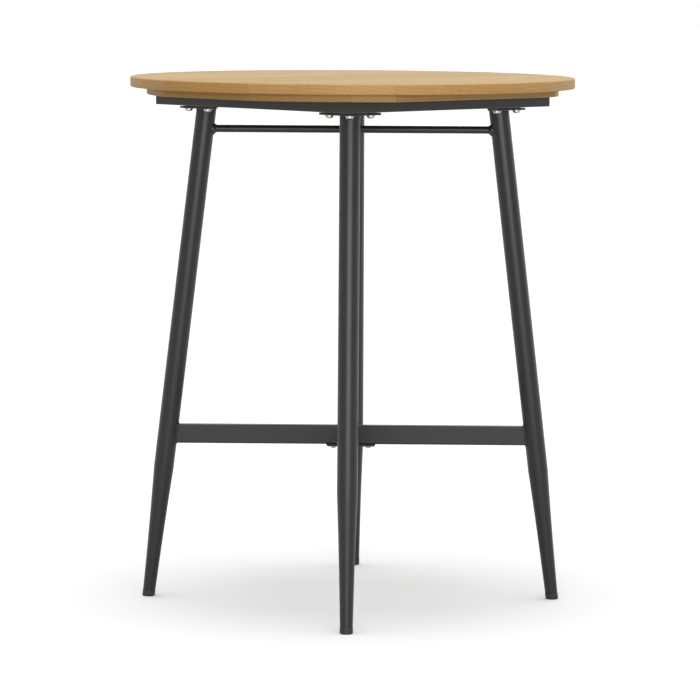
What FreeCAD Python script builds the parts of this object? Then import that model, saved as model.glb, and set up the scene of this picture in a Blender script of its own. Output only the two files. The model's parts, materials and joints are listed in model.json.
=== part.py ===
"""Outdoor bar table: a round top of wooden boards on a square steel ring and four leaning tube legs.

Millimetres. +Z is up, the floor is z = 0 and the origin is the middle of the footprint.
+X is to the right and -Y is the front. The legs stand on the X and Y axes.
"""
import FreeCAD, Part
import math
import os

Vector = FreeCAD.Vector
UP = Vector(0, 0, 1)
ORIGIN = Vector(0, 0, 0)
FULL_TURN = 360
HALF_TURN = 180
QUARTER_TURN = 90

# Overall
table_height = 1050.0
cut_overrun = 5.0
thread_clearance = 0.1

# Round top of boards, which run at 45 degrees to the X axis
grain_angle = 45.0
top_diameter = 885.0
board_count = 12
board_thickness = 20.0
board_joint_chamfer = 0.8
rim_chamfer = 2.0

# Cleats under the boards, trimmed to a smaller circle
cleat_thickness = 15.0
cleat_circle_diameter = 820.0
main_cleat_width = 153.0
main_cleat_lap = 9.0
cross_cleat_width = 120.0
cross_cleat_lap = 22.0

# Square ring of mitred box section, one corner on each axis
ring_side = 555.0
rail_width = 30.0
rail_height = 20.0
rail_wall = 1.5
rail_corner = 2.0

# Corner plates inside the ring, and the hexagon nuts welded under them
corner_plate_thickness = 5.0
weld_nut_width = 14.0
weld_nut_height = 5.0

# Legs with their top plates
leg_setback = 101.0
leg_splay = 116.5
leg_diameter = 40.0
leg_wall = 1.6
leg_foot_diameter = 25.0
leg_taper_height = 265.0
leg_taper_hollow = 0.7
leg_plate_thickness = 4.0
leg_plate_clip = 2.5
leg_plate_end = 20.0
leg_plate_inner = 23.0
leg_bolt_pitch = 56.0
leg_bolt_inset = 4.5
leg_bolt_edge = 14.5

# Foot caps
cap_height = 13.5
cap_lip = 0.3
cap_spigot_length = 22.0
cap_spigot_clearance = 0.2
cap_edge_chamfer = 1.5

# Leg bolts and washers
leg_bolt_diameter = 8.0
leg_bolt_hole = 9.0
leg_bolt_head_diameter = 15.0
leg_bolt_head_height = 5.4
leg_bolt_head_rim = 1.6
leg_bolt_short = 0.5
leg_washer_diameter = 18.0
leg_washer_thickness = 1.6

# Upper tie rods
rod_diameter = 16.0
rod_wall = 1.5
rod_drop = 40.0
rod_flare = 5.0
rod_flare_length = 6.5
rod_crossing_gap = 0.5

# Lower stretchers
stretcher_height = 332.0
stretcher_depth = 38.0
stretcher_width = 20.0
stretcher_wall = 1.5
stretcher_corner = 2.5

# Joining strip under the crossing, with its bolts, washers and insert nuts
strip_length = 100.0
strip_width = 25.0
strip_thickness = 4.5
strip_bevel = 3.0
strip_bolt_spacing = 35.0
strip_bolt_diameter = 6.0
strip_bolt_hole = 6.6
strip_bolt_head_diameter = 10.5
strip_bolt_head_height = 3.4
strip_bolt_head_rim = 0.9
strip_washer_diameter = 13.0
strip_washer_thickness = 1.4
insert_diameter = 9.0
insert_length = 13.0
insert_collar_diameter = 12.0
insert_collar_height = 3.0

# Fasteners, welds and hidden bores are drawn with flat sides, which keeps them light
bolt_sides = 8
nut_sides = 6
screw_sides = 6
weld_sides = 12
bore_sides = 16
dome_crown_share = 0.55

# Wood screws
screw_diameter = 4.0
screw_head_diameter = 8.0
screw_head_height = 2.4
cleat_screw_length = 28.0
cleat_screw_row = 30.0
cleat_screw_edge = 12.0
cross_screw_share = 0.75
frame_screw_reach = 12.0
frame_screw_access = 10.0
frame_screw_spacing = 240.0

# Levels, from the top downwards
board_level = table_height - board_thickness
cleat_level = board_level - cleat_thickness
ring_level = cleat_level - rail_height
nut_level = ring_level - weld_nut_height
leg_top = nut_level - leg_plate_thickness
rod_level = leg_top - rod_drop
cross_rod_level = rod_level - rod_diameter - rod_crossing_gap
stretcher_under = stretcher_height - stretcher_depth / 2
strip_under = stretcher_under - strip_thickness

# Places worked out from the sizes
top_radius = top_diameter / 2
board_width = top_diameter / board_count
cleat_radius = cleat_circle_diameter / 2
ring_half = ring_side / 2
ring_inside = ring_half - rail_width
main_cleat_inner = ring_inside - main_cleat_lap
cross_cleat_inner = ring_inside - cross_cleat_lap
leg_top_radius = ring_half * math.sqrt(2) - leg_setback
leg_foot_radius = leg_top_radius + leg_splay
leg_lean = math.atan2(leg_splay, leg_top)
leg_length = leg_top / math.cos(leg_lean)
leg_bolt_beside = leg_bolt_pitch / math.sqrt(2)
leg_bolt_row = leg_top_radius - leg_bolt_inset
leg_plate_back = leg_top_radius - leg_plate_inner
leg_sides = {"right": 0, "rear": 1, "left": 2, "front": 3}


def turned(shape, angle):
    """A copy of the shape turned about the vertical axis."""
    copy = shape.copy()
    copy.rotate(ORIGIN, UP, angle)
    return copy


def moved(shape, x, y, z):
    """A copy of the shape shifted by x, y and z."""
    copy = shape.copy()
    copy.translate(Vector(x, y, z))
    return copy


def block(x_low, x_high, y_low, y_high, z_low, z_high):
    """A box between two corners."""
    size = (x_high - x_low, y_high - y_low, z_high - z_low)
    return Part.makeBox(*size, Vector(x_low, y_low, z_low))


def turned_point(point, angle):
    """A point turned about the vertical axis."""
    return FreeCAD.Rotation(UP, angle).multVec(point)


def flat_sided(points, sides):
    """A turned piece drawn with flat sides, from (radius, height) corners of its outline, bottom first."""
    rings = []
    for radius, height in points:
        first = Vector(radius, 0, height)
        rings.append([turned_point(first, FULL_TURN * step / sides) for step in range(sides)])
    loops = [rings[0], rings[-1]]
    for low, high in zip(rings, rings[1:]):
        loops += [[low[step - 1], low[step], high[step], high[step - 1]] for step in range(sides)]
    faces = [Part.Face(Part.makePolygon(loop + loop[:1])) for loop in loops]
    solid = Part.makeSolid(Part.makeShell(faces))
    return solid if solid.Volume > 0 else solid.reversed()


def prism(diameter, z_low, z_high, sides):
    """An upright prism on the vertical axis, diameter across its corners."""
    return flat_sided([(diameter / 2, z_low), (diameter / 2, z_high)], sides)


def rounded_wire(width, depth, corner):
    """A rectangle with round corners, centred in the XY plane."""
    x = width / 2
    y = depth / 2
    bend = corner * (1 - math.sqrt(0.5))
    edges = []
    for turn, (a, b) in enumerate(((x, y), (y, x), (x, y), (y, x))):
        side = Part.LineSegment(Vector(a, corner - b, 0), Vector(a, b - corner, 0)).toShape()
        start = Vector(a, b - corner, 0)
        middle = Vector(a - bend, b - bend, 0)
        end = Vector(a - corner, b, 0)
        arc = Part.Arc(start, middle, end).toShape()
        edges += [turned(side, QUARTER_TURN * turn), turned(arc, QUARTER_TURN * turn)]
    return Part.Wire(edges)


def joined(start, end):
    """A straight edge between two points."""
    return Part.LineSegment(start, end).toShape()


def dome_bolt(diameter, head_diameter, head_height, head_rim, seat, tip):
    """A bolt with its domed head below the seat and its shank up to the tip."""
    head = head_diameter / 2
    crown = head * dome_crown_share
    return flat_sided([(crown, seat - head_height), (head, seat - head_rim), (head, seat),
                       (diameter / 2, seat), (diameter / 2, tip)], bolt_sides)


def washer(diameter, hole, z_low, thickness, sides):
    """A flat ring on the vertical axis, with as many sides outside as given."""
    z_high = z_low + thickness
    ring = prism(diameter, z_low, z_high, sides)
    return ring.cut(prism(hole, z_low - cut_overrun, z_high + cut_overrun, bolt_sides))


def export(name, shape):
    """Writes one node."""
    shape.exportStep("parts/" + name + ".step")


def at_places(shape, places):
    """Copies of the shape at (x, y) places."""
    return [moved(shape, x, y, 0) for x, y in places]


def drilled(shape, cutters):
    """The shape less those cutters whose boxes meet it."""
    near = [cutter for cutter in cutters if cutter.BoundBox.intersect(shape.BoundBox)]
    return shape.cut(near) if near else shape


# Wood screws and their places, in the frame of the boards (x along the grain)

def board_middles():
    """The middle line of each board, across the grain."""
    return [board_width * (index + 0.5) - top_radius for index in range(board_count)]


def cleat_screw_places():
    """One screw for each board on each cleat that it crosses or lies on."""
    places = []
    row = ring_half + cleat_screw_row
    reach = cleat_radius - cleat_screw_edge
    cross_low = cross_cleat_inner + cleat_screw_edge
    cross_high = cross_cleat_inner + cross_cleat_width - cleat_screw_edge
    for y in board_middles():
        if math.hypot(row, y) < reach:
            places += [(row, y), (-row, y)]
        if cross_low < abs(y) < cross_high:
            places.append((math.copysign(cross_screw_share * main_cleat_inner, y), y))
    return places


def frame_screw_places():
    """Two screws along the middle of each rail."""
    middle = ring_half - rail_width / 2
    places = []
    for along in (-frame_screw_spacing / 2, frame_screw_spacing / 2):
        places += [(middle, along), (-middle, along), (along, middle), (along, -middle)]
    return places


def cleat_screw(gap):
    """A countersunk screw from under the cleat up into the board, grown by gap."""
    shank = screw_diameter / 2 + gap
    head = screw_head_diameter / 2 + gap
    tip = cleat_level + cleat_screw_length + gap
    neck = cleat_level + screw_head_height
    return flat_sided([(head, cleat_level), (shank, neck), (shank, tip)], screw_sides)


def frame_screw(gap):
    """A flat-headed screw from inside the rail up into the cleat, grown by gap."""
    shank = screw_diameter / 2 + gap
    head = screw_head_diameter / 2 + gap
    seat = cleat_level - rail_wall
    low = seat - screw_head_height
    tip = cleat_level + frame_screw_reach + gap
    return flat_sided([(head, low), (head, seat), (shank, seat), (shank, tip)], screw_sides)


def screw_holes():
    """Cutters for every wood screw in the boards and cleats."""
    cutters = at_places(cleat_screw(thread_clearance), cleat_screw_places())
    return cutters + at_places(frame_screw(thread_clearance), frame_screw_places())


def export_screws():
    """The wood screws, as two groups."""
    cleat_set = Part.makeCompound(at_places(cleat_screw(0), cleat_screw_places()))
    frame_set = Part.makeCompound(at_places(frame_screw(0), frame_screw_places()))
    export("cleat_screws", turned(cleat_set, grain_angle))
    export("frame_screws", turned(frame_set, grain_angle))


# Wooden top

def top_board(index, disc):
    """One board: a strip with chamfered upper joints, trimmed to the round top."""
    low = index * board_width - top_radius
    high = low + board_width
    shoulder = table_height - board_joint_chamfer
    corners = [(low, board_level), (high, board_level), (high, shoulder),
               (high - board_joint_chamfer, table_height), (low + board_joint_chamfer, table_height),
               (low, shoulder)]
    points = [Vector(-top_diameter, y, z) for y, z in corners]
    strip = Part.Face(Part.makePolygon(points + points[:1])).extrude(Vector(2 * top_diameter, 0, 0))
    return strip.common(disc)


def eased_disc():
    """The round outline of the top, with its upper rim chamfered."""
    shoulder = table_height - rim_chamfer
    points = [(0, board_level), (top_radius, board_level), (top_radius, shoulder),
              (top_radius - rim_chamfer, table_height), (0, table_height)]
    corners = [Vector(distance, 0, height) for distance, height in points]
    return Part.Face(Part.makePolygon(corners + corners[:1])).revolve(ORIGIN, UP, FULL_TURN)


def export_top(cutters):
    """All boards of the top."""
    disc = eased_disc()
    for index in range(board_count):
        board = drilled(top_board(index, disc), cutters)
        export("top_board_%02d" % (index + 1), turned(board, grain_angle))


def export_cleats(cutters):
    """Two main cleats across the boards and two cross cleats between them."""
    disc = Part.makeCylinder(cleat_radius, cleat_thickness, Vector(0, 0, cleat_level))
    main_outer = main_cleat_inner + main_cleat_width
    cross_outer = cross_cleat_inner + cross_cleat_width
    main = block(main_cleat_inner, main_outer, -cleat_radius, cleat_radius, cleat_level, board_level)
    cross = block(-main_cleat_inner, main_cleat_inner, cross_cleat_inner, cross_outer,
                  cleat_level, board_level)
    for name, shape, angle in (("main_cleat_rear", main, 0), ("main_cleat_front", main, HALF_TURN),
                               ("cross_cleat_left", cross, 0), ("cross_cleat_right", cross, HALF_TURN)):
        cleat = drilled(turned(shape, angle).common(disc), cutters)
        export(name, turned(cleat, grain_angle))


# Steel ring

def ring_rail():
    """The rail on the +X side of the ring, mitred at both ends."""
    section = Part.Face(rounded_wire(rail_width, rail_height, rail_corner))
    section.rotate(ORIGIN, Vector(1, 0, 0), QUARTER_TURN)
    section.translate(Vector(ring_half - rail_width / 2, ring_half, ring_level + rail_height / 2))
    bore = block(ring_inside + rail_wall, ring_half - rail_wall, -ring_half, ring_half,
                 ring_level + rail_wall, cleat_level - rail_wall)
    rail = section.extrude(Vector(0, -ring_side, 0)).cut(bore)
    corners = [Vector(0, 0, 0), Vector(ring_side, -ring_side, 0), Vector(ring_side, ring_side, 0)]
    wedge = Part.Face(Part.makePolygon(corners + corners[:1])).extrude(Vector(0, 0, table_height))
    return rail.common(wedge)


def ring_holes():
    """Cutters for the frame screws: a wide access hole below and a shank hole above."""
    middle = ring_level + rail_height / 2
    access = prism(frame_screw_access, ring_level - cut_overrun, middle, bolt_sides)
    shank = prism(screw_diameter + 2 * thread_clearance, middle, cleat_level + cut_overrun, screw_sides)
    return at_places(access, frame_screw_places()) + at_places(shank, frame_screw_places())


def export_ring():
    """Four rails, named for the side that they lie on."""
    rail = ring_rail()
    holes = ring_holes()
    for turn, side in enumerate(("rear_right", "rear_left", "front_left", "front_right")):
        bored = drilled(turned(rail, QUARTER_TURN * turn), holes)
        export("ring_rail_" + side, turned(bored, grain_angle))


# Bolted corners, drawn for the leg on the +X axis

def leg_bolt_places():
    """The three bolts of one leg: one outside it on its own axis and two beside it."""
    return [(leg_bolt_row + leg_bolt_beside, 0),
            (leg_bolt_row, leg_bolt_beside), (leg_bolt_row, -leg_bolt_beside)]


def flat_plate(corners, z_low, thickness):
    """A plate of even thickness with the given corners."""
    points = [Vector(x, y, z_low) for x, y in corners]
    return Part.Face(Part.makePolygon(points + points[:1])).extrude(Vector(0, 0, thickness))


def corner_plate():
    """A three-cornered plate that fills the ring corner, level with the ring's underside."""
    corner_x = ring_inside * math.sqrt(2)
    reach = corner_x - leg_plate_back
    corners = [(corner_x, 0), (leg_plate_back, reach), (leg_plate_back, -reach)]
    return flat_plate(corners, ring_level, corner_plate_thickness)


def leg_plate():
    """The three-cornered plate on top of a leg, with its corners cut off and clearance holes."""
    point = leg_bolt_row + leg_bolt_beside + leg_bolt_edge * math.sqrt(2)
    tip = point - leg_plate_clip
    end = leg_bolt_beside + leg_plate_end
    corners = [(tip, -leg_plate_clip), (tip, leg_plate_clip), (point - end, end),
               (leg_plate_back, end), (leg_plate_back, -end), (point - end, -end)]
    hole = prism(leg_bolt_hole, leg_top - cut_overrun, nut_level + cut_overrun, bolt_sides)
    return flat_plate(corners, leg_top, leg_plate_thickness).cut(at_places(hole, leg_bolt_places()))


def export_corners():
    """Corner plates and leg plates one by one, and their nuts, washers and bolts as groups."""
    threaded_hole = leg_bolt_diameter + 2 * thread_clearance
    washer_level = leg_top - leg_washer_thickness
    nut_diameter = weld_nut_width / math.cos(math.pi / nut_sides)
    nut = washer(nut_diameter, threaded_hole, nut_level, weld_nut_height, nut_sides)
    flat = washer(leg_washer_diameter, threaded_hole, washer_level, leg_washer_thickness, bolt_sides)
    bolt = dome_bolt(leg_bolt_diameter, leg_bolt_head_diameter, leg_bolt_head_height, leg_bolt_head_rim,
                     washer_level, ring_level - leg_bolt_short)
    groups = {"weld_nuts": nut, "leg_washers": flat, "leg_bolts": bolt}
    for name, shape in groups.items():
        set_of_three = at_places(shape, leg_bolt_places())
        copies = [turned(one, QUARTER_TURN * turn) for turn in leg_sides.values() for one in set_of_three]
        export(name, Part.makeCompound(copies))
    for side, turn in leg_sides.items():
        export("corner_plate_" + side, turned(corner_plate(), QUARTER_TURN * turn))
        export("leg_plate_" + side, turned(leg_plate(), QUARTER_TURN * turn))


# Legs, drawn upright on their own axis from the floor and then leaned over the +X axis

def leaned(shape):
    """Puts an upright leg shape on its leaning axis."""
    copy = shape.copy()
    copy.rotate(ORIGIN, Vector(0, 1, 0), -math.degrees(leg_lean))
    copy.translate(Vector(leg_foot_radius, 0, 0))
    return copy


def leg_core():
    """The filled outside of a leg: an arc from the drawn-down foot, then a straight tube."""
    height = leg_length + leg_diameter
    low = Vector(0, 0, cap_height)
    foot = Vector(leg_foot_diameter / 2, 0, cap_height)
    shoulder = Vector(leg_diameter / 2, 0, leg_taper_height)
    waist = (foot + shoulder) / 2 - Vector(leg_taper_hollow, 0, 0)
    body = Vector(leg_diameter / 2, 0, height)
    high = Vector(0, 0, height)
    edges = [joined(low, foot), Part.Arc(foot, waist, shoulder).toShape(), joined(shoulder, body),
             joined(body, high), joined(high, low)]
    return leaned(Part.Face(Part.Wire(edges)).revolve(ORIGIN, UP, FULL_TURN))


def leg_bore():
    """The inside of a leg, one wall in from its outside, and past both of its ends."""
    foot = leg_foot_diameter / 2 - leg_wall
    body = leg_diameter / 2 - leg_wall
    waist = (foot + body) / 2 - leg_taper_hollow
    waist_height = (cap_height + leg_taper_height) / 2
    return leaned(flat_sided([(foot, 0), (foot, cap_height), (waist, waist_height), (body, leg_taper_height),
                              (body, leg_length + 2 * leg_diameter)], bore_sides))


def leg_tube():
    """The hollow leg, cut level under its plate."""
    above = block(0, 2 * leg_foot_radius, -leg_diameter, leg_diameter, leg_top, leg_top + 2 * leg_diameter)
    return leg_core().cut([leg_bore(), above])


def foot_cap():
    """A plastic cap with a spigot in the tube and a sole cut level with the floor."""
    lip = leg_foot_diameter / 2 + cap_lip
    spigot = leg_foot_diameter / 2 - leg_wall - cap_spigot_clearance
    drop = leg_foot_diameter * math.tan(leg_lean)
    cap = flat_sided([(lip - cap_edge_chamfer, -drop), (lip, cap_edge_chamfer - drop), (lip, cap_height),
                      (spigot, cap_height), (spigot, cap_height + cap_spigot_length)], bore_sides)
    floor = block(0, 2 * leg_foot_radius, -leg_diameter, leg_diameter, -leg_diameter, 0)
    return leaned(cap).cut(floor)


def export_legs():
    """Four legs and their foot caps."""
    tube = leg_tube()
    cap = foot_cap()
    for side, turn in leg_sides.items():
        export("leg_" + side, turned(tube, QUARTER_TURN * turn))
        export("foot_cap_" + side, turned(cap, QUARTER_TURN * turn))


# Bars between the legs, drawn towards the leg on the +X axis

def leg_axis_at(level):
    """How far out the leg's axis is at a height."""
    return leg_foot_radius - level * math.tan(leg_lean)


def leg_face_at(level):
    """How far out the leg's inner face is at a height."""
    return leg_axis_at(level) - leg_diameter / 2 / math.cos(leg_lean)


def half_rod(level):
    """Half of an upper tie rod: a tube with a flared weld where it meets the leg."""
    radius = rod_diameter / 2
    face = leg_face_at(level)
    axis = leg_axis_at(level)
    along = Vector(1, 0, 0)
    rod = Part.makeCylinder(radius, axis, ORIGIN, along)
    bore = flat_sided([(radius - rod_wall, 0), (radius - rod_wall, axis)], bolt_sides)
    flare = flat_sided([(radius, face - rod_flare_length), (radius + rod_flare, face),
                        (radius + rod_flare, axis)], weld_sides)
    for part in (bore, flare):
        part.rotate(ORIGIN, Vector(0, 1, 0), QUARTER_TURN)
    return moved(rod.fuse(flare).cut(bore), 0, 0, level).cut(leg_core())


def half_stretcher(start):
    """A box-section stretcher from start to the leg, shaped to it, with a bolt hole underneath."""
    axis = leg_axis_at(stretcher_height)
    section = Part.Face(rounded_wire(stretcher_depth, stretcher_width, stretcher_corner))
    section.rotate(ORIGIN, Vector(0, 1, 0), QUARTER_TURN)
    bar = moved(section.extrude(Vector(axis - start, 0, 0)), start, 0, stretcher_height)
    half_width = stretcher_width / 2 - stretcher_wall
    half_depth = stretcher_depth / 2 - stretcher_wall
    bore = block(start, axis, -half_width, half_width,
                 stretcher_height - half_depth, stretcher_height + half_depth)
    hole = prism(insert_diameter, stretcher_under - cut_overrun, stretcher_height, bolt_sides)
    return bar.cut([bore, leg_core(), moved(hole, start + strip_bolt_place(start), 0, 0)])


def strip_bolt_place(start):
    """How far past its start a stretcher takes its strip bolt: none for the one that runs through."""
    return strip_bolt_spacing - start if start > 0 else 0


def export_bars():
    """Upper tie rods and lower stretchers."""
    for name, level, angle in (("upper_rod_left_right", rod_level, 0),
                               ("upper_rod_front_rear", cross_rod_level, QUARTER_TURN)):
        half = half_rod(level)
        rod = half.fuse(turned(half, HALF_TURN)).removeSplitter()
        export(name, turned(rod, angle))
    through = half_stretcher(0)
    through = through.fuse(turned(through, HALF_TURN)).removeSplitter()
    export("stretcher_front_rear", turned(through, QUARTER_TURN))
    side = half_stretcher(stretcher_width / 2)
    export("stretcher_right", side)
    export("stretcher_left", turned(side, HALF_TURN))


# Joining strip under the crossing

def export_joining_strip():
    """The bevelled strip, with bolts and washers below it and insert nuts in the stretchers."""
    places = [(step * strip_bolt_spacing, 0) for step in (-1, 0, 1)]
    low = strip_length / 2 - strip_bevel
    high = strip_length / 2
    corners = [Vector(x, -strip_width / 2, z) for x, z in
               ((-low, strip_under), (low, strip_under), (high, stretcher_under), (-high, stretcher_under))]
    strip = Part.Face(Part.makePolygon(corners + corners[:1])).extrude(Vector(0, strip_width, 0))
    hole = prism(strip_bolt_hole, strip_under - cut_overrun, stretcher_under + cut_overrun, bolt_sides)
    export("joining_strip", strip.cut(at_places(hole, places)))
    threaded_hole = strip_bolt_diameter + 2 * thread_clearance
    washer_level = strip_under - strip_washer_thickness
    tip = stretcher_under + insert_length
    sleeve = insert_diameter / 2 - thread_clearance
    collar = insert_collar_diameter / 2
    collar_level = stretcher_under + stretcher_wall
    insert = flat_sided([(sleeve, stretcher_under), (sleeve, collar_level), (collar, collar_level),
                         (sleeve, collar_level + insert_collar_height), (sleeve, tip)], bolt_sides)
    insert = insert.cut(prism(threaded_hole, strip_under, tip + cut_overrun, bolt_sides))
    flat = washer(strip_washer_diameter, threaded_hole, washer_level, strip_washer_thickness, bolt_sides)
    bolt = dome_bolt(strip_bolt_diameter, strip_bolt_head_diameter, strip_bolt_head_height,
                     strip_bolt_head_rim, washer_level, tip)
    for name, shape in (("insert_nuts", insert), ("strip_washers", flat), ("strip_bolts", bolt)):
        export(name, Part.makeCompound(at_places(shape, places)))


def main():
    """Builds every node."""
    os.makedirs("parts", exist_ok=True)
    cutters = screw_holes()
    export_top(cutters)
    export_cleats(cutters)
    export_screws()
    export_ring()
    export_corners()
    export_legs()
    export_bars()
    export_joining_strip()


main()
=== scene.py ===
"""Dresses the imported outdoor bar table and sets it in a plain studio.

Metres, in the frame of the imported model: +Z is up, the floor is z = 0, +X is to the right and -Y is
the front. The boards run at 45 degrees to the X axis, and the legs stand on the X and Y axes.
"""

import json
import math

import bmesh
import bpy
from mathutils import Matrix, Vector


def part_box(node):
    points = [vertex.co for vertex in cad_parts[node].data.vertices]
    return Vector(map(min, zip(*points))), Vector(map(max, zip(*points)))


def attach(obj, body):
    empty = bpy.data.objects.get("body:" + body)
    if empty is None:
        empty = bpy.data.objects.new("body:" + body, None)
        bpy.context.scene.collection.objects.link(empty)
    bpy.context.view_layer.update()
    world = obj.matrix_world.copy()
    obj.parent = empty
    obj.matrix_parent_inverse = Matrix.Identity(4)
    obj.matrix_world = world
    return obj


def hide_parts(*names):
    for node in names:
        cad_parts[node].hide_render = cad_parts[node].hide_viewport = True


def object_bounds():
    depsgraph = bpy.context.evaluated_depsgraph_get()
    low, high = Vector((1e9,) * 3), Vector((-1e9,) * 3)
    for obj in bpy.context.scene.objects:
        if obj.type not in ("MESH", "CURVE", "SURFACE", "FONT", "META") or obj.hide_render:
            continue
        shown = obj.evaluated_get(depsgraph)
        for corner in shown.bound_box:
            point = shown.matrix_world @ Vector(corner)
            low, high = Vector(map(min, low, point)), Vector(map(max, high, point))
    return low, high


bl_info = {
    "name": "Outdoor bar table",
    "version": (1, 0, 0),
    "blender": (4, 5, 0),
    "location": "View3D > Sidebar > Bar table",
    "description": "Makes the boards, legs, bars, fasteners and studio of a round outdoor bar table",
    "category": "Object",
}

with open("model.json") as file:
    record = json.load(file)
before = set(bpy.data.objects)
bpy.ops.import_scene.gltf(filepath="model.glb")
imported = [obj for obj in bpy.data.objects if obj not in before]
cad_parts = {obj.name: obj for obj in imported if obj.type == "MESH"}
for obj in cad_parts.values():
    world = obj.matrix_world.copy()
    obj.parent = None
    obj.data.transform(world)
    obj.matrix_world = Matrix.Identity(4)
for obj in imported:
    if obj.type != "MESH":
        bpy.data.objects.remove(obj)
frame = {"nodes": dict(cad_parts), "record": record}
CAD_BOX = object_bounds()

MM = 0.001
SIDES = ("right", "rear", "left", "front")
QUARTER = math.pi / 2
FULL_TURN = 2 * math.pi
UP = Vector((0, 0, 1))
WHITE = (1, 1, 1, 1)

# Places read from the frame
GRAIN_TURN = math.radians(45)
GRAIN = Matrix.Rotation(GRAIN_TURN, 3, "Z")
BOARDS = sorted(name for name in frame["nodes"] if name.startswith("top_board_"))
TOP_RADIUS = (CAD_BOX[1].x - CAD_BOX[0].x) / 2
BOARD_WIDTH = 2 * TOP_RADIUS / len(BOARDS)

# How finely round shapes are drawn
ARC_STEPS = 24
TUBE_SEGMENTS = 96
TAPER_STEPS = 16
FLARE_STEPS = 12
EDGE_STEPS = 5
HEAD_SEGMENTS = 64
HEAD_RINGS = 32
SHANK_SEGMENTS = 32
WASHER_SEGMENTS = 64
WASHER_EDGE_STEPS = 3
SCREW_SEGMENTS = 40
SCREW_SHANK_SEGMENTS = 24
BEAD_SEGMENTS = 24
BEAD_STEPS = 8.0

# Edges that turn by more than this stay sharp, and points closer than these become one
SHARP_ANGLE = math.radians(12)
NO_SHARP_EDGE = math.pi
LOFT_REACH = 1e-7
SOLID_REACH = 1e-6
MERGE_REACH = 0.001 * MM

# Digits of a metre that put separate solids in order
PLACE_DIGITS = 5

# Shares of the sizes of bolts, washers, screws and welds, and counts of corners and ripples
RIM_SHARE = 0.3
EQUATOR = 0.01
SOCKET_SHARE = 0.9
HEXAGON = 6
WASHER_HOLE_SHARE = 1.06
SLOT_REACH_SHARE = 1.1
SLOT_DEPTH_SHARE = 1.2
RIPPLES = 24
RIPPLE_SHARE = 0.02
BEAD_RIPPLE = 0.018

# Seeds of the turns of the fasteners and of the tones of the boards
CHANCE_SEED = 7
BOARD_SEED = 2940

# Patterns of the wood, each with its length, width and detail
# Real fibres and pores are 0.1 to 0.3 mm wide and are drawn wider, to show from a step away
WOOD_PATTERNS = {"cloud": (320 * MM, 70 * MM, 2.0), "fibre": (240 * MM, 3 * MM, 5.0),
                 "pore": (28 * MM, 1 * MM, 2.0)}
RING_SPACING = 7 * MM
RING_STRETCH = 0.05
LOG_REACH = (5.0, 0.35, 0.25)
FIBRE_SHARE = 0.8
PORE_SHARE = 0.25
# Height over which the painted sheen grows from the rim to the upper face
SHEEN_FACE_DEPTH = 2 * MM

# Tones from strip to strip, and the painted sheen that makes the upper face paler and yellower than the rim
BOARD_TONES = (0.88, 1.07)
# Painted shade: the cleats sit under the overhanging top and are drawn darker than the boards
CLEAT_SHADE_TONES = (0.71, 0.88)
WARMTHS = (1.06, 0.97)
SHEEN_HUE_SHIFT = (0.5, 0.51)
SHEEN_SATURATION = (1.0, 0.9)
SHEEN_BRIGHTNESS = (1.0, 1.05)

# A ring wave of scale 1 repeats about every so many metres
WAVE_LENGTH = 0.314

# Patterns of the coat, the zinc and the plastic
# The real orange peel has cells of about 1 mm and the plastic a grain of about 0.3 mm: both are drawn
# coarser, to show in the highlights and close up
PEEL_CELL = 3 * MM
CLOUD_CELL = 45 * MM
SPANGLE_CELL = 1.5 * MM
PLASTIC_CELL = 0.8 * MM

# Studio and camera, as worked out from the feet, rim and leg lines of the photograph
FLOOR_REACH = 60.0
SKY_LIGHT = 0.41
FLOOR_LIFT = 0.085
OVERHEAD_LIGHT = 2.05
OVERHEAD_ANGLE = math.radians(65)
SENSOR_WIDTH = 36.0
CAMERA_LENS = 190.67
CAMERA_DISTANCE = 7.402
CAMERA_HEIGHT = 1.2895
CAMERA_AZIMUTH = math.radians(0.95)
CAMERA_YAW = math.radians(0.0204)
CAMERA_TILT = math.radians(6.069)
CAMERA_ROLL = math.radians(0.3)

# Softboxes: place, aim, width and height in metres, and power in watts
SOFTBOXES = {
    "front_softbox": ((0.6, -5.5, 1.4), (0, 0, 1.3), 4.0, 1.4, 128),
    "side_softbox": ((4.3, 2.5, 1.5), (0, 0, 0.8), 3.0, 3.0, 15),
}


def linear(text):
    """The linear colour of an sRGB hex value."""
    shares = [int(text[place:place + 2], 16) / 255 for place in (1, 3, 5)]
    return [share / 12.92 if share <= 0.04045 else ((share + 0.055) / 1.055) ** 2.4 for share in shares]


def length(label, text, millimetres):
    """A length that a user can change."""
    return bpy.props.FloatProperty(name=label, description=text, default=millimetres * MM, unit="LENGTH",
                                   precision=4)


def colour(label, text, hexadecimal):
    """A colour that a user can change."""
    return bpy.props.FloatVectorProperty(name=label, description=text, subtype="COLOR", size=3, min=0, max=1,
                                         default=linear(hexadecimal))


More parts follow.
